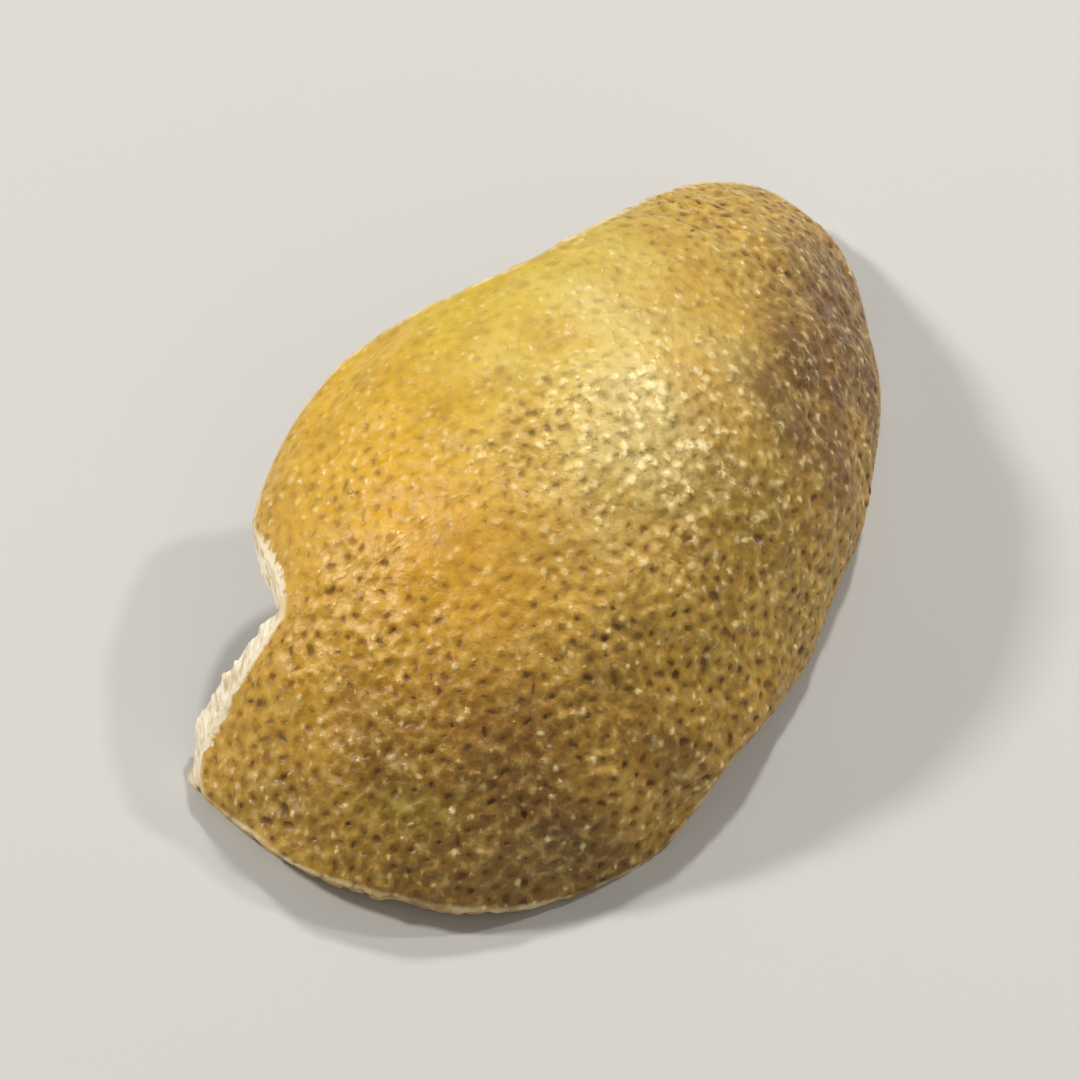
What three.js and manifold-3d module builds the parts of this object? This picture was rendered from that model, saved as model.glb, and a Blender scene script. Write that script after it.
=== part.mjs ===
// A dried piece of orange peel: one torn, domed scrap of rind, lying skin side up.
// Millimetres, +Z up. The origin is on the ground, under the middle of the piece.
//
// The skin is laid out from its crown, the highest point of the dome. A place on it is given by
// a direction round the crown (0 is the right side, 90 the far end, 180 the left side and 270
// the near end, all before the piece is turned into the way it lies) and by a distance walked
// along the skin. The pith follows under the skin at the peel's thickness.
import * as THREE from 'three';
import { mergeVertices } from 'three/addons/utils/BufferGeometryUtils.js';
import Module from 'manifold-3d';

// The dome, as it grew round the fruit and closed up in drying.
const ACROSS_RADIUS = 11.8;
const ALONG_RADIUS = 20;
// Degrees by which drying has curled each side further in (or out, if negative), at CURL_REACH.
const CURL = { right: 25, far: -8, left: -11, near: -3 };
const CURL_REACH = 18;

// The torn outline: [direction, distance from the crown to the skin's edge].
const OUTLINE = [
  [0, 16.1], [25, 17.8], [45, 19.7], [62, 22.7],       // long right side, curled under
  [76, 24.4], [88, 26.1], [96, 21.7],                  // blunt far end
  [106, 14.2], [120, 10.7], [136, 10], [154, 11],      // straight cut, lifted off the ground
  [170, 12.9], [190, 14.3], [204, 14.7],               // shoulder above the tear
  [216, 13.7], [226, 13.3], [231, 13.9],               // tear
  [238, 20.2], [252, 20.7],                            // lobe below the tear
  [272, 19.6], [308, 17.8], [332, 15.2],               // rounded near end
];

// How the piece lies: turned about Z, leaned towards the near side, tipped to the right.
const TURN = -23.5;
const LEAN = 10.55;
const TIP = 5.2;

// The peel's thickness, and how lumpy the pith under it is.
const CROWN_THICKNESS = 2.1;
const EDGE_THICKNESS = 1.7;
const PITH_LUMP = 0.14;
// Broad swells and hollows that drying leaves in the skin.
const SKIN_SWELL = 0.2;

// The broken edge. Just under the skin the pith stands out as a shelf, between two shares of the
// thickness. It is narrow all round, wider in the tear, and a lip on the tear's lower side.
const PITH_LEDGE = 0.2;
const TEAR_LEDGE = { direction: 219, spread: 11, out: 0.5 };
const LIP_LEDGE = { direction: 235.5, spread: 4.7, out: 1.2 };
const SHELF_TOP = 0.02;
const SHELF_BASE = 0.25;
// How much the broken face bulges, and how uneven the edge is.
const EDGE_BULGE = 0.12;
const EDGE_RIPPLE = 0.2;

// What the lowest stretches of the edge lose to the flats that the piece rests on.
const FOOT_DEPTH = 0.3;

// Fineness of the solid.
const SECTORS = 108;
const SKIN_RINGS = 16;
const EDGE_STEPS = 4;
const PITH_RINGS = 12;
const WALK_STEPS = 24;
const SLOPE_STEP = 0.05;
const HEADING_STEP = 1.5;

const radians = THREE.MathUtils.degToRad;
const fullTurn = 360;

function wrap(degrees) {
  return ((degrees % fullTurn) + fullTurn) % fullTurn;
}

// Smooth closed curve through the outline's points.
function skinReach(direction) {
  const count = OUTLINE.length;
  const at = (index) => OUTLINE[(index + count) % count];
  let start = count - 1;
  for (let index = 0; index < count; index += 1) {
    if (OUTLINE[index][0] <= wrap(direction)) start = index;
  }
  const slope = (index) => {
    const span = wrap(at(index + 1)[0] - at(index - 1)[0]);
    return (at(index + 1)[1] - at(index - 1)[1]) / span;
  };
  const gap = wrap(at(start + 1)[0] - at(start)[0]);
  const t = wrap(direction - at(start)[0]) / gap;
  const square = t * t;
  const cube = square * t;
  return (2 * cube - 3 * square + 1) * at(start)[1]
    + (cube - 2 * square + t) * gap * slope(start)
    + (3 * square - 2 * cube) * at(start + 1)[1]
    + (cube - square) * gap * slope(start + 1);
}

// The edge as torn: the outline with its small unevenness.
function tornReach(direction) {
  const a = radians(direction);
  const ripple = Math.sin(5 * a + 0.6) + 0.7 * Math.sin(9 * a + 2.1) + 0.5 * Math.sin(14 * a);
  return skinReach(direction) + EDGE_RIPPLE * ripple / 2.2;
}

// The dome without its swells: walk from the crown, turning downwards all the way.
function domePoint(right, far) {
  const distance = Math.hypot(right, far);
  const angle = Math.atan2(far, right);
  const c = Math.cos(angle);
  const s = Math.sin(angle);
  const bend = c * c / ACROSS_RADIUS + s * s / ALONG_RADIUS;
  const sideways = radians(c > 0 ? CURL.right : CURL.left) * c * c;
  const endways = radians(s > 0 ? CURL.far : CURL.near) * s * s;
  const step = distance / WALK_STEPS;
  let out = 0;
  let down = 0;
  for (let index = 0; index < WALK_STEPS; index += 1) {
    const walked = (index + 0.5) * step;
    const turned = bend * walked + (sideways + endways) * (walked / CURL_REACH) ** 3;
    out += Math.cos(turned) * step;
    down += Math.sin(turned) * step;
  }
  return new THREE.Vector3(out * c, out * s, -down);
}

function domeNormal(right, far) {
  const along = domePoint(right + SLOPE_STEP, far).sub(domePoint(right - SLOPE_STEP, far));
  const across = domePoint(right, far + SLOPE_STEP).sub(domePoint(right, far - SLOPE_STEP));
  return along.cross(across).normalize();
}

function swell(right, far) {
  const broad = Math.sin(0.40 * right + 0.9) * Math.cos(0.33 * far - 0.5);
  const small = Math.sin(0.75 * right - 0.45 * far + 2.0);
  return SKIN_SWELL * (0.65 * broad + 0.35 * small);
}

function thickness(right, far) {
  const direction = THREE.MathUtils.radToDeg(Math.atan2(far, right));
  const share = Math.min(1, Math.hypot(right, far) / skinReach(direction));
  const lump = Math.sin(1.1 * right + 0.5) * Math.sin(0.9 * far + 1.3)
    + 0.6 * Math.sin(0.7 * right + 1.6 * far);
  return THREE.MathUtils.lerp(CROWN_THICKNESS, EDGE_THICKNESS, share ** 3) + PITH_LUMP * lump;
}

// A place on the skin, as its distances to the right of the crown and to the far side of it.
function place(direction, walked) {
  return new THREE.Vector2(walked, 0).rotateAround(new THREE.Vector2(), radians(direction));
}

// The way out across the torn edge, at right angles to it.
function edgeHeading(direction) {
  const ahead = place(direction + HEADING_STEP, tornReach(direction + HEADING_STEP));
  const behind = place(direction - HEADING_STEP, tornReach(direction - HEADING_STEP));
  const along = ahead.sub(behind).normalize();
  return new THREE.Vector2(along.y, -along.x);
}

// How much one stretch of the torn edge adds to the shelf, fading past the stretch's ends.
function stretchOut(direction, stretch) {
  const off = wrap(direction - stretch.direction + 180) - 180;
  return stretch.out * Math.exp(-((off / stretch.spread) ** 4));
}

// How far the broken edge stands out past the skin's own edge.
function ledge(direction, sunk) {
  const out = PITH_LEDGE + stretchOut(direction, TEAR_LEDGE) + stretchOut(direction, LIP_LEDGE);
  return out * THREE.MathUtils.smoothstep(sunk, SHELF_TOP, SHELF_BASE);
}

// A point of the peel: on the way from the crown to the edge by a share, and sunk into the
// thickness by a share of it, 0 on the skin and 1 on the pith's free side.
function peelPoint(direction, share, sunk) {
  const out = ledge(direction, sunk) + EDGE_BULGE * Math.sin(Math.PI * sunk);
  const edge = place(direction, tornReach(direction)).addScaledVector(edgeHeading(direction), out);
  const { x: right, y: far } = edge.multiplyScalar(share);
  const height = swell(right, far) - sunk * thickness(right, far);
  return domePoint(right, far).addScaledVector(domeNormal(right, far), height);
}

// The closed shell: skin rings from the crown out, the broken edge, pith rings back in.
function peelShell() {
  const rings = [];
  for (let ring = 1; ring <= SKIN_RINGS; ring += 1) {
    rings.push((direction) => peelPoint(direction, ring / SKIN_RINGS, 0));
  }
  for (let step = 1; step < EDGE_STEPS; step += 1) {
    rings.push((direction) => peelPoint(direction, 1, step / EDGE_STEPS));
  }
  for (let ring = PITH_RINGS; ring >= 1; ring -= 1) {
    rings.push((direction) => peelPoint(direction, ring / PITH_RINGS, 1));
  }

  const points = [peelPoint(0, 0, 0)];
  for (const ring of rings) {
    for (let sector = 0; sector < SECTORS; sector += 1) {
      points.push(ring(sector * fullTurn / SECTORS));
    }
  }
  points.push(peelPoint(0, 0, 1));

  const faces = [];
  const corner = (ring, sector) => 1 + ring * SECTORS + (sector % SECTORS);
  const last = points.length - 1;
  for (let sector = 0; sector < SECTORS; sector += 1) {
    faces.push(0, corner(0, sector), corner(0, sector + 1));
    for (let ring = 0; ring < rings.length - 1; ring += 1) {
      const a = corner(ring, sector);
      const b = corner(ring + 1, sector);
      const c = corner(ring + 1, sector + 1);
      const d = corner(ring, sector + 1);
      faces.push(a, b, c, a, c, d);
    }
    faces.push(last, corner(rings.length - 1, sector + 1), corner(rings.length - 1, sector));
  }
  const shell = new THREE.BufferGeometry().setFromPoints(points);
  shell.setIndex(faces);
  return shell;
}

// Turns the shell into the way it lies, with its lowest FOOT_DEPTH below the ground.
function lay(shell) {
  const lying = new THREE.Matrix4().makeRotationY(radians(TIP))
    .multiply(new THREE.Matrix4().makeRotationX(radians(LEAN)))
    .multiply(new THREE.Matrix4().makeRotationZ(radians(TURN)));
  shell.applyMatrix4(lying);
  shell.computeBoundingBox();
  const { min, max } = shell.boundingBox;
  shell.translate(-(min.x + max.x) / 2, -(min.y + max.y) / 2, -min.z - FOOT_DEPTH);
  return shell;
}

const manifold = await Module();
manifold.setup();

function toSolid(geometry) {
  const bare = new THREE.BufferGeometry();
  bare.setAttribute('position', geometry.getAttribute('position'));
  bare.setIndex(geometry.getIndex());
  const merged = mergeVertices(bare, 1e-5);
  return new manifold.Manifold(new manifold.Mesh({
    numProp: 3,
    vertProperties: new Float32Array(merged.getAttribute('position').array),
    triVerts: new Uint32Array(merged.getIndex().array),
  }));
}

function toGeometry(solid) {
  const mesh = solid.getMesh();
  const geometry = new THREE.BufferGeometry();
  geometry.setAttribute('position', new THREE.BufferAttribute(mesh.vertProperties, 3));
  geometry.setIndex(new THREE.BufferAttribute(mesh.triVerts, 1));
  geometry.computeVertexNormals();
  return geometry;
}

// The ground's block, which takes the feet's flats off the shell.
function ground() {
  const depth = 5;
  const block = new THREE.BoxGeometry(80, 80, depth);
  block.translate(0, 0, -depth / 2);
  return block;
}

const rind = new THREE.MeshStandardMaterial({ color: 0xb58a3e, roughness: 0.5, metalness: 0 });
const peelGeometry = toGeometry(toSolid(lay(peelShell())).subtract(toSolid(ground())));
const peel = new THREE.Mesh(peelGeometry, rind);
peel.name = 'peel';

const group = new THREE.Group();
group.add(peel);

export default group;
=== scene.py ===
"""The looks of a dried piece of orange peel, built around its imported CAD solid.

The skin is laid out from its crown as in the CAD part: a place on it is a direction round the
crown, in degrees, and a distance walked along the skin, in millimetres. The form follows the
same formulas. On it lie the collapsed oil glands, the broken edge with its cut glands, and the
fibrous pith underneath. All lengths below are in millimetres until the mesh is written.
"""
import math

import bmesh
import bpy
import numpy as np
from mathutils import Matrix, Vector, kdtree


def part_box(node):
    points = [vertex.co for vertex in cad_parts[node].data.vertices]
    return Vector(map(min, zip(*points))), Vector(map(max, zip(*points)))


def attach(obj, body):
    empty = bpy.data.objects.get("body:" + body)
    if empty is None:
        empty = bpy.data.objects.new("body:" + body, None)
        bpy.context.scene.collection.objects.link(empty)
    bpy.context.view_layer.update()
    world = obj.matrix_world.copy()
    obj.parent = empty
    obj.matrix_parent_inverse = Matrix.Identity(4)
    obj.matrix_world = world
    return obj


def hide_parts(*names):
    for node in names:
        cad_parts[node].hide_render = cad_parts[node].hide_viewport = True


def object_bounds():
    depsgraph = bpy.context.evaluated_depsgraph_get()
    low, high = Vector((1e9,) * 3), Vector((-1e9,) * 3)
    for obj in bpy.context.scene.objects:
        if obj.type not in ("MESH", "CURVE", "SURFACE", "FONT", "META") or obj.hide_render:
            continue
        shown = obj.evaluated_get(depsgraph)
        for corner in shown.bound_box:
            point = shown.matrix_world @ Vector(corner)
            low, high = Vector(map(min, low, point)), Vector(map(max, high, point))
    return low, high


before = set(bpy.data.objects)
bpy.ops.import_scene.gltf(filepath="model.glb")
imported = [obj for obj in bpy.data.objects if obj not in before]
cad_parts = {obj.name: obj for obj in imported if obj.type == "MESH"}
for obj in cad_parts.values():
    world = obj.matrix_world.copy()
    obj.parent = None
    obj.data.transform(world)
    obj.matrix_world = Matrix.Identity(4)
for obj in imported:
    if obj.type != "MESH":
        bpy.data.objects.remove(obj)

cad_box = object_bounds()
MM = 0.001

# ---------------------------------------------------------------- the form, as in the CAD part

ACROSS_RADIUS, ALONG_RADIUS = 11.8, 20.0
CURL = {"right": 25, "far": -8, "left": -11, "near": -3}
CURL_REACH = 18.0
OUTLINE = [
    (0, 16.1), (25, 17.8), (45, 19.7), (62, 22.7),       # long right side, curled under
    (76, 24.4), (88, 26.1), (96, 21.7),                  # blunt far end
    (106, 14.2), (120, 10.7), (136, 10.0), (154, 11.0),  # straight cut, lifted off the ground
    (170, 12.9), (190, 14.3), (204, 14.7),               # shoulder above the tear
    (216, 13.7), (226, 13.3), (231, 13.9),               # tear
    (238, 20.2), (252, 20.7),                            # lobe below the tear
    (272, 19.6), (308, 17.8), (332, 15.2),               # rounded near end
]
TURN, LEAN, TIP = -23.5, 10.55, 5.2
CROWN_THICKNESS, EDGE_THICKNESS, PITH_LUMP = 2.1, 1.7, 0.14
SKIN_SWELL = 0.2
PITH_LEDGE = 0.2
TEAR_LEDGE = {"direction": 219, "spread": 11, "out": 0.5}
LIP_LEDGE = {"direction": 235.5, "spread": 4.7, "out": 1.2}
SHELF_TOP, SHELF_BASE = 0.02, 0.25
EDGE_BULGE, EDGE_RIPPLE = 0.12, 0.2
WALK_STEPS = 24
SLOPE_STEP = 0.05
HEADING_STEP = 1.5

# ------------------------------------------------------------------------------ fine features

SKIN_SPACING = 0.112        # between vertices on the skin and along the broken edge
PITH_SPACING = 0.3          # between vertices on the pith's free side
EDGE_ROWS = 14              # rows of vertices down the broken edge, closer under the skin
EDGE_ROW_POWER = 1.5
TABLE_STEPS = 2880          # directions at which the torn edge's length is added up

SCATTER_TRIES = 40000
GLAND_GAP = 0.60            # least distance between the middles of two oil glands
GLAND_RADIUS = (0.11, 0.18)
GLAND_STRETCH = 2.0         # the longest gland is this many times as long as it is wide
GLAND_DEPTH = (0.05, 0.14)
GLAND_STIR = 0.05           # unevenness of the glands' outlines
GLAND_TONE = (0.35, 1.0)    # how dark a gland is, as a share of the darkest
BEAD_GAP = 0.36             # between the pale raised beads
BEAD_OFF_GLAND = 0.27
BEAD_RADIUS = (0.10, 0.18)
BEAD_STRETCH = 1.7
BEAD_HEIGHT = 0.05
DULL_BEAD = 0.12            # the beads with less gloss and glint than this stay dull everywhere
WRINKLE, CREASE, DENT = 0.038, 0.034, 0.06                       # heights
WRINKLE_LENGTH, CREASE_LENGTH, DENT_LENGTH = 0.55, 1.3, 3.6
EDGE_CALM = (0.05, 0.6)     # distances from the torn edge between which the relief sets in

CUT_GLAND_GAP = 1.0         # between the glands that the broken edge cuts open
CUT_GLAND_RADIUS = (0.14, 0.30)
CUT_GLAND_DEPTH = 0.26
CUT_GLAND_LEVEL = (0.15, 0.31)    # shares of the thickness between which they lie
SMALL_GLANDS = 0.22         # share of them that are cut near their ends
SMALL_GLAND_SIZE = 0.45     # and look this much smaller

CHIP = 0.04                 # unevenness of the skin's own edge
EDGE_FRAY = 0.07            # roughness of the broken edge
LIP_FRAY = 0.32             # and of the lip in the tear
LIP_LUMP = 0.16
FRAY_SHARE = 0.75           # share of the reach at which the pith's free side starts to fray
PITH_FIBRE = 0.07
PITH_DENT = 0.06
STRAND_GAP = 3.1            # between the main strands on the pith's free side
STRAND_HEIGHT, STRAND_WIDTH = 0.20, 0.22

# The plane that faces the camera, in which the skin's looks are laid out: its angle above the
# ground, its middle on the skin, and roughly where the crown comes to lie.
VIEW_ELEVATION = 50.0
VIEW_MIDDLE = (0.0, 4.0)
CROWN_PLACE = (0.0, 0.0, 9.0)
# Where the skin dried out more, or less if negative: place, size, by how much.
DRIED_SPOTS = [
    ((-7.7, -1.0), (3.0, 3.5), 0.28),
    ((7.0, 11.0), (4.0, 4.0), 0.35),
    ((-3.7, -3.4), (3.2, 2.8), -0.35),
]
# The patch of painted glints round the crown, a painted highlight where the light catches the
# beads: its place and size, how much larger and brighter the beads are in it, and how much paler
# the glands.
PAINTED_GLINT_PLACE, PAINTED_GLINT_SIZE = (3.0, 2.0), (5.0, 4.6)
PAINTED_GLINT_LARGER, PAINTED_GLINT_LUSTRE, PAINTED_GLINT_PALER = 0.8, 0.95, 0.45

LENS = 345.0                # focal length on the camera's standard sensor
CAMERA_DISTANCE = 0.400     # metres
AIM = (0.0, -2.3, -1.9)     # from the middle of the CAD box to where the camera looks


def smooth(low, high, value):
    """0 below low, 1 above high, and an even slope between."""
    t = np.clip((value - low) / (high - low), 0, 1)
    return t * t * (3 - 2 * t)


def waves(seed, wavelength, count=28):
    """A smooth random field over points, of about unit size, made of plane waves."""
    rng = np.random.default_rng(seed)
    heading = rng.normal(size=(count, 3))
    heading /= np.linalg.norm(heading, axis=1, keepdims=True)
    pace = 2 * math.pi / (wavelength * rng.uniform(0.7, 1.4, count))
    phase = rng.uniform(0, 2 * math.pi, count)
    scale = math.sqrt(2 / count)
    return lambda points: np.sin(points @ (heading * pace[:, None]).T + phase).sum(1) * scale


def limited(field, limit=1.5):
    """The field with its highest and lowest values drawn in to the limit."""
    return limit * np.tanh(field / limit)


# ------------------------------------------------------------------------------ form functions

def skin_reach(direction):
    """Smooth closed curve through the outline's points."""
    at = np.array([station[0] for station in OUTLINE], float)
    reach = np.array([station[1] for station in OUTLINE])
    slope = (np.roll(reach, -1) - np.roll(reach, 1)) / ((np.roll(at, -1) - np.roll(at, 1)) % 360)
    direction = np.mod(direction, 360)
    start = np.searchsorted(at, direction, side="right") - 1
    end = (start + 1) % len(at)
    gap = (at[end] - at[start]) % 360
    t = ((direction - at[start]) % 360) / gap
    return ((2 * t**3 - 3 * t**2 + 1) * reach[start] + (t**3 - 2 * t**2 + t) * gap * slope[start]
            + (3 * t**2 - 2 * t**3) * reach[end] + (t**3 - t**2) * gap * slope[end])


def torn_reach(direction):
    """The outline with the unevenness of the torn edge."""
    a = np.radians(direction)
    ripple = np.sin(5 * a + 0.6) + 0.7 * np.sin(9 * a + 2.1) + 0.5 * np.sin(14 * a)
    return skin_reach(direction) + EDGE_RIPPLE * ripple / 2.2


def place(direction, walked):
    """(right, far) of a direction and a distance from the crown."""
    a = np.radians(direction)
    return walked * np.cos(a), walked * np.sin(a)


def dome_points(right, far):
    """The dome without its swells: walk from the crown, turning downwards all the way."""
    distance = np.hypot(right, far)
    angle = np.arctan2(far, right)
    c, s = np.cos(angle), np.sin(angle)
    bend = c * c / ACROSS_RADIUS + s * s / ALONG_RADIUS
    sideways = np.radians(np.where(c > 0, CURL["right"], CURL["left"])) * c * c
    endways = np.radians(np.where(s > 0, CURL["far"], CURL["near"])) * s * s
    step = distance / WALK_STEPS
    out = np.zeros_like(distance)
    down = np.zeros_like(distance)
    for index in range(WALK_STEPS):
        walked = (index + 0.5) * step
        turned = bend * walked + (sideways + endways) * (walked / CURL_REACH) ** 3
        out += np.cos(turned) * step
        down += np.sin(turned) * step
    return np.stack([out * c, out * s, -down], 1)


def dome_normals(right, far):
    along = dome_points(right + SLOPE_STEP, far) - dome_points(right - SLOPE_STEP, far)
    across = dome_points(right, far + SLOPE_STEP) - dome_points(right, far - SLOPE_STEP)
    normals = np.cross(along, across)
    return normals / np.linalg.norm(normals, axis=1, keepdims=True)


def swell(right, far):
    broad = np.sin(0.40 * right + 0.9) * np.cos(0.33 * far - 0.5)
    small = np.sin(0.75 * right - 0.45 * far + 2.0)
    return SKIN_SWELL * (0.65 * broad + 0.35 * small)


def thickness(right, far):
    direction = np.degrees(np.arctan2(far, right))
    share = np.minimum(1, np.hypot(right, far) / skin_reach(direction))
    lump = (np.sin(1.1 * right + 0.5) * np.sin(0.9 * far + 1.3)
            + 0.6 * np.sin(0.7 * right + 1.6 * far))
    plain = CROWN_THICKNESS + (EDGE_THICKNESS - CROWN_THICKNESS) * share**3
    return plain + PITH_LUMP * lump


def edge_heading(direction):
    """(right, far) of the way out across the torn edge, at right angles to it."""
    ahead = direction + HEADING_STEP
    behind = direction - HEADING_STEP
    ahead = np.stack(place(ahead, torn_reach(ahead)))
    behind = np.stack(place(behind, torn_reach(behind)))
    along = (ahead - behind) / np.linalg.norm(ahead - behind, axis=0)
    return along[1], -along[0]


def stretch_share(direction, stretch):
    """1 along a stretch of the torn edge, fading to 0 past its ends."""
    off = np.mod(direction - stretch["direction"] + 180, 360) - 180
    return np.exp(-((off / stretch["spread"]) ** 4))


def ledge(direction, sunk):
    """How far the broken edge stands out past the skin's own edge: a shelf just under the skin."""
    out = PITH_LEDGE + TEAR_LEDGE["out"] * stretch_share(direction, TEAR_LEDGE)
    out = out + LIP_LEDGE["out"] * stretch_share(direction, LIP_LEDGE)
    return out * smooth(SHELF_TOP, SHELF_BASE, sunk)


def lying():
    """The rotation from the laid-out skin to the way the piece lies."""
    turn, lean, tip = (math.radians(angle) for angle in (TURN, LEAN, TIP))
    about_z = np.array([[math.cos(turn), -math.sin(turn), 0],
                        [math.sin(turn), math.cos(turn), 0],
                        [0, 0, 1]])
    about_x = np.array([[1, 0, 0],
                        [0, math.cos(lean), -math.sin(lean)],
                        [0, math.sin(lean), math.cos(lean)]])
    about_y = np.array([[math.cos(tip), 0, math.sin(tip)],
                        [0, 1, 0],
                        [-math.sin(tip), 0, math.cos(tip)]])
    return about_y @ about_x @ about_z


# ------------------------------------------------------------------------------ vertex layout

class Layout:
    """The closed shell's vertices as direction, share of the reach and share sunk into the
    thickness, and its triangles. Rings run round the crown: over the skin, down the broken
    edge, and back in over the pith."""

    def __init__(self):
        self.direction, self.share, self.sunk = [], [], []
        self.faces, self.total, self.last_ring = [], 0, None
        table = np.linspace(0, 360, TABLE_STEPS + 1)
        reach = torn_reach(table)
        a = np.radians(table)
        edge = dome_points(reach * np.cos(a), reach * np.sin(a))
        steps = np.linalg.norm(np.diff(edge, axis=0), axis=1)
        self.walked = np.concatenate([[0], np.cumsum(steps)])
        self.table = table
        self.length = self.walked[-1]
        self.build()

    def directions(self, count):
        """Directions evenly spaced along the torn edge."""
        places = np.arange(count) / count * self.length
        return np.interp(places, self.walked, self.table)

    def ring(self, count, share, sunk):
        start = self.total
        self.direction.append(self.directions(count))
        self.share.append(np.full(count, share))
        self.sunk.append(np.full(count, sunk))
        self.total += count
        if self.last_ring is not None:
            self.stitch(*self.last_ring, start, count)
        self.last_ring = (start, count)

    def pole(self, share, sunk):
        self.direction.append(np.zeros(1))
        self.share.append(np.full(1, share))
        self.sunk.append(np.full(1, sunk))
        self.total += 1
        return self.total - 1

    def stitch(self, first, first_count, second, second_count):
        """Triangles between two rings of different counts, taken in turn round the crown."""
        ends = np.concatenate([np.arange(1, first_count + 1) / first_count,
                               np.arange(1, second_count + 1) / second_count])
        order = np.argsort(ends, kind="stable")
        on_first = order < first_count
        before_first = np.cumsum(on_first) - on_first
        before_second = np.cumsum(~on_first) - ~on_first
        a = first + before_first % first_count
        b = second + before_second % second_count
        next_a = first + (before_first + 1) % first_count
        next_b = second + (before_second + 1) % second_count
        third = np.where(on_first, next_a, next_b)
        self.faces.append(np.stack([a, b, third], 1))

    def fan(self, pole, start, count, facing_out):
        here = start + np.arange(count)
        after = start + (np.arange(count) + 1) % count
        hub = np.full(count, pole)
        order = (hub, here, after) if facing_out else (hub, after, here)
        self.faces.append(np.stack(order, 1))

    def build(self):
        crown = self.pole(0, 0)
        skin_rings = round(float(np.mean(torn_reach(self.table))) / SKIN_SPACING)
        for index in range(1, skin_rings + 1):
            share = index / skin_rings
            count = max(8, round(share * self.length / SKIN_SPACING))
            self.ring(count, share, 0.0)
            if index == 1:
                self.fan(crown, 1, count, True)
        edge_count = self.last_ring[1]
        for row in range(1, EDGE_ROWS + 1):
            self.ring(edge_count, 1.0, (row / EDGE_ROWS) ** EDGE_ROW_POWER)
        pith_rings = round(float(np.mean(torn_reach(self.table))) / PITH_SPACING)
        for index in range(pith_rings - 1, 0, -1):
            share = index / pith_rings
            count = max(8, round(share * self.length / PITH_SPACING))
            self.ring(count, share, 1.0)
        under = self.pole(0, 1.0)
        self.fan(under, *self.last_ring, False)
        self.direction = np.concatenate(self.direction)
        self.share = np.concatenate(self.share)
        self.sunk = np.concatenate(self.sunk)
        self.faces = np.concatenate(self.faces)


# ----------------------------------------------------------------------------------- the peel

def plane_of_view(points):
    """Across and up in the plane that faces the camera, from the middle of the skin."""
    rise = math.radians(VIEW_ELEVATION)
    across = points[:, 0]
    up = points[:, 1] * math.sin(rise) + points[:, 2] * math.cos(rise)
    return across - VIEW_MIDDLE[0], up - VIEW_MIDDLE[1]


def tree_of(points):
    tree = kdtree.KDTree(len(points))
    for index, point in enumerate(points):
        tree.insert(point, index)
    tree.balance()
    return tree


def nearest(tree, points):
    """For each point, which of the tree's points is nearest, and how far it is."""
    found = [tree.find(point) for point in points]
    index = np.array([hit[1] for hit in found])
    distance = np.array([hit[2] for hit in found])
    return index, distance


def scatter(gap, rng):
    """Places on the dome, none closer to another than gap."""
    direction = rng.uniform(0, 360, SCATTER_TRIES)
    share = np.sqrt(rng.uniform(0, 1, SCATTER_TRIES))
    tries = dome_points(*place(direction, share * (torn_reach(direction) - 0.1)))
    kept = np.empty_like(tries)
    count = 0
    for point in tries:
        off = kept[:count] - point
        if count == 0 or (off * off).sum(1).min() > gap**2:
            kept[count] = point
            count += 1
    return kept[:count]


def spot_reach(points, middles, radius, stretch, rng):
    """The nearest middle to each point, and the distance to it in radii of an oval spot."""
    index, _ = nearest(tree_of(middles), points)
    off = points - middles[index]
    axis = rng.normal(size=(len(middles), 3))
    axis /= np.linalg.norm(axis, axis=1, keepdims=True)
    longer = rng.uniform(1, stretch, len(middles))[index]
    along = (off * axis[index]).sum(1)
    squared = (off * off).sum(1) - (1 - 1 / longer**2) * along**2
    spread = rng.uniform(*radius, len(middles))
    return index, np.sqrt(np.maximum(squared, 0)) / spread[index]


def hump(reach):
    """1 in the middle of a spot, falling smoothly to 0 at its rim."""
    return np.clip(1 - reach**2, 0, 1) ** 1.5


def patch(across, up, middle, size):
    """1 in the middle of a soft oval patch in the plane of view, falling to 0 round it."""
    return np.exp(-np.hypot((across - middle[0]) / size[0], (up - middle[1]) / size[1]) ** 2)


def dryness(across, up, drift):
    """0 where the skin is still smooth and golden, 1 where it has dried brown and pitted; its
    darker glands, mostly on the near and right sides, are partly painted shade.
    """
    near_side = smooth(-8, 8, 0.55 * across - 0.85 * up + drift)
    right_side = 0.8 * smooth(2, 9, across + 0.5 * drift)
    dried = np.maximum(near_side, right_side)
    for middle, size, more in DRIED_SPOTS:
        dried = dried + more * patch(across, up, middle, size)
    return np.clip(dried, 0, 1)


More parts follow.
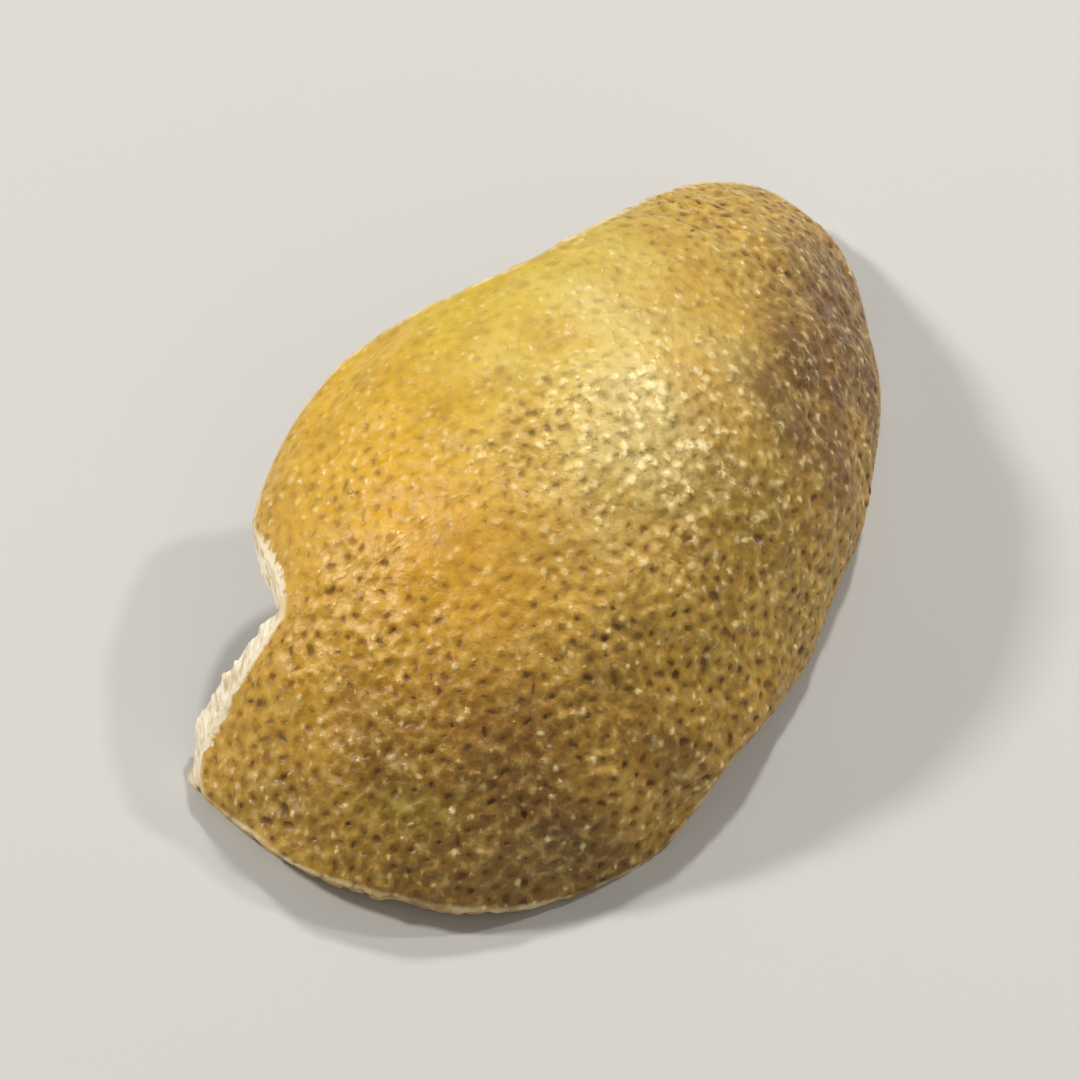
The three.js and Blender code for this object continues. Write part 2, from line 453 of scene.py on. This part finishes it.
def skin_relief(base, edge_distance, rng):
    """Height of the skin over the dome, and the fields that colour it."""
    across, up = plane_of_view(base @ lying().T + CROWN_PLACE)
    dried = dryness(across, up, 2.0 * waves(61, 7.0)(base))
    # Painted highlight: round the crown the beads are larger and paler and the glands paler, as
    # painted glints.
    painted_glint = patch(across, up, PAINTED_GLINT_PLACE, PAINTED_GLINT_SIZE)
    # Glands are deeper where the skin is more dried, and darker there: partly their own brown,
    # partly painted shade.
    pitted = 0.25 + 0.75 * dried

    glands = scatter(GLAND_GAP, rng)
    stir = np.stack([waves(seed, 0.6)(base) for seed in (31, 32, 33)], 1) * GLAND_STIR
    index, pit = spot_reach(base + stir, glands, GLAND_RADIUS, GLAND_STRETCH, rng)
    depth = rng.uniform(*GLAND_DEPTH, len(glands))[index]
    tone = rng.uniform(*GLAND_TONE, len(glands))[index] * (1 - PAINTED_GLINT_PALER * painted_glint)

    beads = scatter(BEAD_GAP, rng)
    _, off_gland = nearest(tree_of(glands), beads)
    beads = beads[off_gland > BEAD_OFF_GLAND]
    number, bead = spot_reach(base + 0.5 * stir, beads, BEAD_RADIUS, BEAD_STRETCH, rng)
    bead = bead / (1 + PAINTED_GLINT_LARGER * painted_glint)
    # How glossy each bead is, and how pale its dot: partly pale specks of the skin, partly painted
    # glints.
    gloss_and_glint = (rng.random(len(beads)) ** 1.3)[number] * (0.45 + 0.55 * dried)
    gloss_and_glint = np.maximum(gloss_and_glint, PAINTED_GLINT_LUSTRE * painted_glint * (gloss_and_glint > DULL_BEAD))

    wrinkles = limited(waves(62, WRINKLE_LENGTH)(base)) * (0.3 + 0.7 * dried)
    creases = limited(waves(63, CREASE_LENGTH)(base)) * (0.4 + 0.6 * dried)
    height = (-depth * pitted * (0.4 + 0.6 * tone) * hump(pit)
              + BEAD_HEIGHT * (0.4 + 0.6 * gloss_and_glint) * hump(bead)
              + WRINKLE * wrinkles + CREASE * creases + DENT * waves(64, DENT_LENGTH)(base))
    calm = 0.25 + 0.75 * smooth(*EDGE_CALM, edge_distance)
    fields = {"pit": pit, "pit_tone": tone * pitted, "bead": bead, "bead_tone": gloss_and_glint,
              "dried": dried, "edge_distance": edge_distance}
    return height * calm, fields


def strands(right, far):
    """0 to 1 on the bundles of fibre that run along the pith's free side and branch."""
    mask = np.zeros_like(right)
    for number in range(-4, 5):
        sway = 0.8 * np.sin(0.33 * far + 1.9 * number) + 0.35 * np.sin(0.9 * far + 4.0 * number)
        centre = number * STRAND_GAP + sway - 0.0045 * number * far**2
        fade = 0.45 + 0.55 * np.sin(0.21 * far + 2.3 * number) ** 2
        mask = np.maximum(mask, fade * np.exp(-((right - centre) / STRAND_WIDTH) ** 2))
    for number in range(-5, 6):
        lean = 0.55 if number % 2 else -0.45
        centre = number * 2.9 + lean * right + 0.5 * np.sin(0.8 * right + number)
        present = smooth(0.1, 0.7, np.sin(0.45 * right + 2.7 * number))
        line = np.exp(-((far - centre) / (0.8 * STRAND_WIDTH)) ** 2)
        mask = np.maximum(mask, 0.7 * present * line)
    return mask


def edge_cuts(along, sunk, length, rng):
    """0 to 1 in the glands that the broken edge cuts open, by the place along the edge."""
    count = round(length / CUT_GLAND_GAP)
    middle = (np.arange(count) + rng.uniform(-0.28, 0.28, count)) * length / count
    level = rng.uniform(*CUT_GLAND_LEVEL, count)
    radius = rng.uniform(*CUT_GLAND_RADIUS, count)
    radius[rng.random(count) < SMALL_GLANDS] *= SMALL_GLAND_SIZE
    depth = rng.uniform(0.55, 1.0, count)
    mask = np.zeros_like(along)
    for gland in range(count):
        off = np.mod(along - middle[gland] + length / 2, length) - length / 2
        near = np.abs(off) < radius[gland]
        fall = (sunk[near] - level[gland]) * EDGE_THICKNESS
        reach = np.hypot(off[near], 0.85 * fall) / radius[gland]
        pit = depth[gland] * np.clip(1 - reach**2, 0, 1)
        mask[near] = np.maximum(mask[near], pit)
    return mask


def edge_outline(layout, rng):
    """How far out the broken edge stands at each vertex, and the fields that colour it."""
    direction, sunk = layout.direction, layout.sunk
    lip = stretch_share(direction, LIP_LEDGE)
    tear = stretch_share(direction, TEAR_LEDGE)
    along = np.interp(direction, layout.table, layout.walked)
    turn = along / layout.length * 2 * math.pi
    loop = np.stack([np.cos(turn), np.sin(turn)]) * layout.length / (2 * math.pi)
    spot = np.column_stack([*loop, 2.6 * sunk])
    torn = 0.7 * waves(51, 1.9)(spot) + 0.45 * waves(52, 0.7)(spot)
    fray = (EDGE_FRAY + (LIP_FRAY - EDGE_FRAY) * lip) * torn * smooth(0.1, 0.5, sunk)
    cuts = edge_cuts(along, sunk, layout.length, rng) * (sunk > 0) * (sunk < 0.6)
    cuts *= np.clip(1 - lip - tear, 0, 1)
    chips = CHIP * waves(53, 0.9)(np.column_stack([*loop, np.zeros_like(along)]))
    bulge = EDGE_BULGE * np.sin(math.pi * sunk)
    fray *= smooth(FRAY_SHARE, 1.0, layout.share)
    out = ledge(direction, sunk) + bulge + chips + fray - CUT_GLAND_DEPTH * cuts
    bare = np.clip(lip + 0.7 * tear, 0, 1) * smooth(0.85, 1.0, layout.share)
    lump = LIP_LUMP * lip * torn * np.sin(math.pi * sunk)
    return out, lump, {"cut_gland": cuts, "lip": bare}


def shape_peel(layout):
    """World positions in millimetres and the fields that the material reads."""
    rng = np.random.default_rng(20)
    direction, sunk = layout.direction, layout.sunk
    out, lump, fields = edge_outline(layout, rng)
    heading = np.stack(edge_heading(direction))
    edge = np.stack(place(direction, torn_reach(direction))) + heading * out
    right, far = edge * layout.share
    base = dome_points(right, far)
    normals = dome_normals(right, far)

    table = layout.table
    rim = dome_points(*place(table, torn_reach(table)))
    on_skin = sunk == 0
    edge_distance = np.zeros(len(base))
    edge_distance[on_skin] = nearest(tree_of(rim), base[on_skin])[1]
    relief, skin_fields = skin_relief(base, edge_distance, rng)

    threads = np.stack([right / 0.5, far / 2.4, np.zeros_like(far)], 1)
    fibre = waves(71, 1.0)(threads) + 0.6 * waves(72, 0.45)(threads)
    strand = strands(right, far)
    under = PITH_FIBRE * fibre + STRAND_HEIGHT * strand + PITH_DENT * waves(73, 2.0)(base)
    edge_fade = 1 - smooth(0.9, 1.0, layout.share) * (sunk == 1)

    height = (swell(right, far) - sunk * thickness(right, far) + lump
              + relief * (1 - sunk) ** 3 - under * smooth(0.6, 1.0, sunk) * edge_fade)
    points = (base + normals * height[:, None]) @ lying().T
    fields.update(skin_fields)
    fields.update({"sunk": sunk, "strand": strand * (sunk > 0.5)})
    return points, fields


def settle(points):
    """Stands the points where the CAD solid stands, with the feet still below the ground."""
    low, high = (np.array(corner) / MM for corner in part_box("peel"))
    middle = (points.min(0) + points.max(0)) / 2
    points = points - middle
    points[:, :2] += ((low + high) / 2)[:2]
    points[:, 2] += high[2] - points[:, 2].max()
    return points


def cut_at_ground(mesh):
    """Takes off what lies below the ground, and closes the mesh with flat feet."""
    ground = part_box("peel")[0][2]
    form = bmesh.new()
    form.from_mesh(mesh)
    everything = form.verts[:] + form.edges[:] + form.faces[:]
    cut = bmesh.ops.bisect_plane(form, geom=everything, plane_co=(0, 0, ground),
                                 plane_no=(0, 0, 1), clear_inner=True)
    rim = [edge for edge in cut["geom_cut"] if isinstance(edge, bmesh.types.BMEdge)]
    feet = bmesh.ops.triangle_fill(form, use_beauty=True, edges=rim, normal=(0, 0, -1))
    cut_gland = form.verts.layers.float["cut_gland"]
    for edge in rim:
        edge.smooth = False
        for vert in edge.verts:
            vert[cut_gland] = 0
    for face in (part for part in feet["geom"] if isinstance(part, bmesh.types.BMFace)):
        face.smooth = False
    form.to_mesh(mesh)
    form.free()


def mesh_object(name, points, faces, fields):
    """A smooth mesh object from points in millimetres, with one float attribute a field."""
    mesh = bpy.data.meshes.new(name)
    mesh.vertices.add(len(points))
    mesh.vertices.foreach_set("co", (points * MM).astype(np.float32).ravel())
    mesh.loops.add(3 * len(faces))
    mesh.loops.foreach_set("vertex_index", faces.astype(np.int32).ravel())
    mesh.polygons.add(len(faces))
    mesh.polygons.foreach_set("loop_start", np.arange(0, 3 * len(faces), 3, dtype=np.int32))
    mesh.polygons.foreach_set("use_smooth", np.ones(len(faces), bool))
    mesh.update(calc_edges=True)
    mesh.validate()
    for field, values in fields.items():
        attribute = mesh.attributes.new(field, "FLOAT", "POINT")
        attribute.data.foreach_set("value", values.astype(np.float32))
    piece = bpy.data.objects.new(name, mesh)
    bpy.context.scene.collection.objects.link(piece)
    return piece


# ---------------------------------------------------------------------------------- materials

class Graph:
    """Short calls for building one material's nodes."""

    def __init__(self, name):
        self.material = bpy.data.materials.new(name)
        self.material.use_nodes = True
        self.tree = self.material.node_tree
        self.shader = self.tree.nodes["Principled BSDF"]

    def node(self, kind, inputs=(), **settings):
        made = self.tree.nodes.new(kind)
        for setting, value in settings.items():
            setattr(made, setting, value)
        for socket, value in dict(inputs).items():
            self.feed(made.inputs[socket], value)
        return made

    def feed(self, socket, value):
        if isinstance(value, bpy.types.NodeSocket):
            self.tree.links.new(value, socket)
        else:
            socket.default_value = value

    def field(self, name):
        return self.node("ShaderNodeAttribute", attribute_name=name).outputs["Fac"]

    def math(self, operation, a, b=0.0):
        made = self.node("ShaderNodeMath", {0: a, 1: b}, operation=operation)
        return made.outputs[0]

    def times(self, *values):
        """The values multiplied together."""
        product = values[0]
        for value in values[1:]:
            product = self.math("MULTIPLY", product, value)
        return product

    def blend(self, factor, a, b):
        """A number between a and b."""
        made = self.node("ShaderNodeMix", {"Factor": factor, "A": a, "B": b}, data_type="FLOAT")
        return made.outputs["Result"]

    def span(self, value, low, high, to_low=0.0, to_high=1.0):
        """to_low where the value is at low, to_high where it is at high, and smooth between."""
        made = self.node("ShaderNodeMapRange", {
            "Value": value, "From Min": low, "From Max": high, "To Min": to_low,
            "To Max": to_high}, interpolation_type="SMOOTHSTEP")
        return made.outputs["Result"]

    def mix(self, factor, a, b):
        """A colour between a and b."""
        made = self.node("ShaderNodeMix", data_type="RGBA")
        self.feed(made.inputs["Factor"], factor)
        self.feed(made.inputs["A"], a)
        self.feed(made.inputs["B"], b)
        return made.outputs["Result"]

    def noise(self, spot, scale, detail=3.0, roughness=0.55):
        made = self.node("ShaderNodeTexNoise", {
            "Vector": spot, "Scale": scale, "Detail": detail, "Roughness": roughness})
        return made.outputs["Fac"]

    def millimetres(self, stretch=(1, 1, 1)):
        """The place on the object in millimetres, divided by stretch."""
        where = self.node("ShaderNodeTexCoord").outputs["Object"]
        factor = tuple(1 / MM / part for part in stretch)
        made = self.node("ShaderNodeVectorMath", {0: where, 1: factor}, operation="MULTIPLY")
        return made.outputs[0]


def srgb(red, green, blue):
    """A colour given in 0 to 255 as linear RGBA."""
    def linear(level):
        level /= 255
        return level / 12.92 if level <= 0.04045 else ((level + 0.055) / 1.055) ** 2.4
    return (linear(red), linear(green), linear(blue), 1.0)


# Skin: what lies over its zones of colour.
MOTTLE_DARK, MOTTLE_PALE = srgb(142, 102, 30), srgb(214, 178, 84)
GRAIN_DARK, GRAIN_PALE = srgb(124, 84, 20), srgb(218, 186, 104)
# Paler ridges between the glands: partly their own tan, partly painted highlight on their raised
# tops.
RIDGE_PALE = srgb(222, 186, 106)
# Gland colours: partly the glands' own brown, partly painted shade in their pits.
GLAND_HALO, GLAND_CORE = srgb(132, 86, 16), srgb(76, 46, 4)
# Pale dots on the beads: partly pale specks of the skin, partly painted glints.
BEAD_PALE_AND_GLINT = srgb(246, 228, 164)
SKIN_RIM = srgb(226, 206, 160)
BARE_RIM = srgb(236, 222, 190)
# Pith and the tan layer just under the skin.
PITH_CREAM, PITH_BLOTCH = srgb(226, 206, 164), srgb(196, 158, 108)
FIBRE_PALE, FIBRE_DARK = srgb(240, 228, 198), srgb(168, 126, 76)
STRAND_TAN = srgb(206, 170, 112)
LAYER_TAN, LAYER_PALE = srgb(190, 150, 86), srgb(224, 196, 138)
CUT_GLAND_BROWN = srgb(84, 54, 24)
LIP_SHADE, LIP_WHITE = srgb(206, 186, 150), srgb(246, 238, 216)

# The skin's colour zones: place in the plane of view, size across and up, colour, strength.
# The pale zone round the crown is a painted highlight; the near end, near edge and right edge are
# darkened with painted shade.
SKIN_BASE = srgb(190, 146, 44)
SKIN_ZONES = [
    ((-2.0, 6.0), (8.5, 6.0), srgb(192, 166, 50), 0.9),     # yellow, upper left
    ((-1.0, 9.5), (5.0, 1.8), srgb(190, 172, 70), 0.5),     # greener, along the straight cut
    ((-7.0, 0.5), (4.5, 4.0), srgb(208, 160, 10), 0.85),    # golden, left
    ((-3.6, -4.0), (4.2, 3.0), srgb(232, 164, 26), 0.48),   # orange, below it
    ((3.5, 2.5), (4.0, 4.6), srgb(222, 200, 122), 0.75),    # pale, round the crown: painted highlight where the glints fall
    ((-8.0, -8.5), (5.0, 3.5), srgb(216, 164, 14), 0.7),    # olive, lobe
    ((-2.5, -11.5), (7.0, 3.6), srgb(132, 86, 6), 0.88),    # brown, near end, darkened with painted shade
    ((-2.0, -15.2), (9.0, 2.6), srgb(66, 38, 2), 0.75),     # painted shade along the near edge
    ((-5.0, -13.2), (2.2, 0.9), srgb(150, 134, 36), 0.6),   # green patch at the near edge
    ((8.0, -3.0), (4.2, 5.5), srgb(138, 112, 16), 0.72),    # olive, right
    ((11.5, 5.0), (2.8, 6.2), srgb(84, 46, 1), 0.92),       # brown, right edge, darkened with painted shade where it curls under
    ((5.0, 12.0), (5.0, 3.0), srgb(168, 138, 44), 0.65),    # olive, far end
]


def skin_tint(points):
    """The skin's broad colour at each point: the zones laid one over the other."""
    across, up = plane_of_view(points)
    colour = np.tile(np.array(SKIN_BASE[:3]), (len(points), 1))
    warp = 0.22 * waves(81, 4.5)(points)
    for (middle_across, middle_up), (wide, tall), tint, strength in SKIN_ZONES:
        reach = np.hypot((across - middle_across) / wide, (up - middle_up) / tall) + warp
        share = (strength * np.exp(-reach**2))[:, None]
        colour = colour * (1 - share) + np.array(tint[:3]) * share
    return colour


def add_colour(piece, name, colours):
    """A colour attribute with one colour a vertex."""
    attribute = piece.data.attributes.new(name, "FLOAT_COLOR", "POINT")
    rgba = np.column_stack([colours, np.ones(len(colours))]).astype(np.float32)
    attribute.data.foreach_set("color", rgba.ravel())


def skin_colour(g, spot):
    """Mottled tint, with brown in the glands, partly painted shade in the pits, ridges paler with
    partly painted highlight, and pale dots on the beads between them, partly painted glints.
    """
    skin = g.node("ShaderNodeAttribute", attribute_name="skin_tint").outputs["Color"]
    dried = g.field("dried")
    mottle = g.noise(spot, 0.5, 4.0, 0.6)
    skin = g.mix(g.span(mottle, 0.45, 0.72, 0.0, 0.35), skin, MOTTLE_DARK)
    skin = g.mix(g.span(mottle, 0.46, 0.28, 0.0, 0.3), skin, MOTTLE_PALE)
    grain = g.noise(spot, 2.2, 3.0, 0.65)
    busy = g.span(dried, 0.0, 1.0, 0.35, 1.0)
    skin = g.mix(g.times(busy, g.span(grain, 0.5, 0.3, 0.0, 0.55)), skin, GRAIN_DARK)
    skin = g.mix(g.times(busy, g.span(grain, 0.52, 0.72, 0.0, 0.3)), skin, GRAIN_PALE)
    pit, tone = g.field("pit"), g.field("pit_tone")
    # Paler ridges between the glands: partly their own tan, partly painted highlight on their
    # raised tops.
    ridge = g.times(g.span(pit, 1.8, 3.0), busy, g.span(grain, 0.36, 0.58))
    skin = g.mix(g.times(ridge, 0.35), skin, RIDGE_PALE)
    # Brown halo and dark core of each gland: partly its own brown, partly painted shade in the
    # pit.
    halo = g.span(pit, 2.2, 0.8)
    skin = g.mix(g.times(halo, tone, 0.5), skin, GLAND_HALO)
    core = g.span(pit, 1.3, 0.4)
    skin = g.mix(g.times(core, tone, 0.85), skin, GLAND_CORE)
    uneven = g.span(grain, 0.34, 0.54)
    # Pale dots on the beads: partly pale specks of the skin, partly painted glints where the beads
    # catch the light.
    dot = g.times(g.span(g.field("bead"), 1.1, 0.3), g.field("bead_tone"), uneven)
    skin = g.mix(g.times(dot, 0.85), skin, BEAD_PALE_AND_GLINT)
    rim = g.span(g.field("edge_distance"), 0.3, 0.08)
    rim = g.times(rim, g.span(g.noise(spot, 1.2, 2.0), 0.35, 0.6, 0.2, 0.8))
    skin = g.mix(rim, skin, SKIN_RIM)
    ragged = g.math("ADD", g.field("edge_distance"), g.span(grain, 0.3, 0.7, -0.2, 0.2))
    bare = g.times(g.span(g.field("lip"), 0.2, 0.7), g.span(ragged, 0.5, 0.3))
    return g.mix(bare, skin, BARE_RIM)


def inner_colour(g, spot):
    """The broken edge and the free side: a tan layer with the cut glands, then cream pith."""
    fibre = g.noise(g.millimetres((0.35, 1.6, 0.35)), 1.5, 4.0, 0.65)
    blotch = g.noise(spot, 0.32, 3.0, 0.55)
    pith = g.mix(g.span(blotch, 0.42, 0.68), PITH_CREAM, PITH_BLOTCH)
    pith = g.mix(g.span(fibre, 0.5, 0.72, 0.0, 0.6), pith, FIBRE_PALE)
    pith = g.mix(g.span(fibre, 0.46, 0.28, 0.0, 0.55), pith, FIBRE_DARK)
    pith = g.mix(g.times(g.field("strand"), 0.55), pith, STRAND_TAN)
    tan = g.mix(g.span(fibre, 0.4, 0.65), LAYER_TAN, LAYER_PALE)
    layer = g.math("ADD", g.field("sunk"), g.times(g.math("SUBTRACT", fibre, 0.5), 0.2))
    inner = g.mix(g.span(layer, 0.12, 0.36), tan, pith)
    inner = g.mix(g.span(g.field("cut_gland"), 0.05, 0.6), inner, CUT_GLAND_BROWN)
    white = g.mix(g.span(fibre, 0.35, 0.6), LIP_SHADE, LIP_WHITE)
    return g.mix(g.span(g.field("lip"), 0.1, 0.6, 0.0, 0.9), inner, white)


def peel_material():
    g = Graph("peel")
    spot = g.millimetres()
    sunk = g.field("sunk")
    inside = g.span(sunk, 0.01, 0.08)
    colour = g.mix(inside, skin_colour(g, spot), inner_colour(g, spot))
    g.feed(g.shader.inputs["Base Color"], colour)

    # Waxy skin, glossier on the beads and matt in the glands; matt pith.
    core = g.span(g.field("pit"), 1.1, 0.4)
    dot = g.times(g.span(g.field("bead"), 1.1, 0.4), g.field("bead_tone"))
    waxy = g.span(g.noise(spot, 4.0, 3.0), 0.3, 0.7, 0.30, 0.48)
    waxy = g.math("ADD", waxy, g.times(core, 0.25))
    waxy = g.math("SUBTRACT", waxy, g.times(dot, 0.28))
    g.feed(g.shader.inputs["Roughness"], g.blend(inside, waxy, 0.9))

    # Fine relief: pits, beads and grain on the skin, threads on the pith.
    grain = g.noise(spot, 5.0, 4.0, 0.65)
    relief = g.math("SUBTRACT", g.times(grain, 0.9), g.times(core, g.field("pit_tone")))
    relief = g.math("ADD", relief, g.times(dot, 0.8))
    threads = g.noise(g.millimetres((0.25, 1.4, 0.25)), 1.6, 5.0, 0.7)
    height = g.blend(inside, relief, g.times(threads, 1.8))
    bump = g.node("ShaderNodeBump", {"Height": height, "Strength": 0.8, "Distance": 0.06 * MM})
    g.feed(g.shader.inputs["Normal"], bump.outputs["Normal"])
    return g.material


# ---------------------------------------------------------------------------------- the stage

# Name, place, width, watts and colour of each soft light.
LIGHTS = [
    ("key", (-265, 55, 250), 45, 0.95, (1.0, 0.97, 0.92)),
    ("back", (90, 220, 310), 26, 0.7, (1.0, 0.98, 0.95)),
    ("side", (250, 100, 290), 22, 0.45, (1.0, 0.97, 0.92)),
    ("fill", (120, -260, 260), 260, 0.2, (1.0, 0.96, 0.90)),
]
ROOM_COLOUR, ROOM_STRENGTH = (1.0, 0.97, 0.92, 1), 0.22
FLOOR_COLOUR = (0.50, 0.495, 0.48, 1)


def floor():
    bpy.ops.mesh.primitive_plane_add(size=1.2)
    made = bpy.context.object
    made.name = "floor"
    g = Graph("floor")
    g.shader.inputs["Base Color"].default_value = FLOOR_COLOUR
    g.shader.inputs["Roughness"].default_value = 0.6
    made.data.materials.append(g.material)


def area_light(name, place_mm, size_mm, watts, colour, target):
    light = bpy.data.lights.new(name, "AREA")
    light.size = size_mm * MM
    light.energy = watts
    light.color = colour
    lamp = bpy.data.objects.new(name, light)
    lamp.location = Vector(place_mm) * MM
    lamp.rotation_euler = (target - lamp.location).to_track_quat("-Z", "Y").to_euler()
    bpy.context.scene.collection.objects.link(lamp)


def stage():
    floor()
    low, high = (Vector(corner) for corner in cad_box)
    target = (low + high) / 2
    for name, place_mm, size_mm, watts, colour in LIGHTS:
        area_light(name, place_mm, size_mm, watts, colour, target)
    world = bpy.data.worlds.new("studio")
    world.use_nodes = True
    world.node_tree.nodes["Background"].inputs["Color"].default_value = ROOM_COLOUR
    world.node_tree.nodes["Background"].inputs["Strength"].default_value = ROOM_STRENGTH
    bpy.context.scene.world = world

    lens = bpy.data.cameras.new("camera")
    lens.lens = LENS
    lens.clip_start = 0.005
    camera = bpy.data.objects.new("camera", lens)
    rise = math.radians(VIEW_ELEVATION)
    away = Vector((0, -math.cos(rise), math.sin(rise))) * CAMERA_DISTANCE
    camera.location = target + away + Vector(AIM) * MM
    camera.rotation_euler = (-away).to_track_quat("-Z", "Y").to_euler()
    bpy.context.scene.collection.objects.link(camera)
    bpy.context.scene.camera = camera
    bpy.context.scene.view_settings.view_transform = "Standard"


def main():
    layout = Layout()
    points, fields = shape_peel(layout)
    points = settle(points)
    peel = mesh_object("peel_skin_and_pith", points, layout.faces, fields)
    add_colour(peel, "skin_tint", skin_tint(points))
    cut_at_ground(peel.data)
    peel.data.materials.append(peel_material())
    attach(peel, "root")
    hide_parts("peel")
    stage()


main()
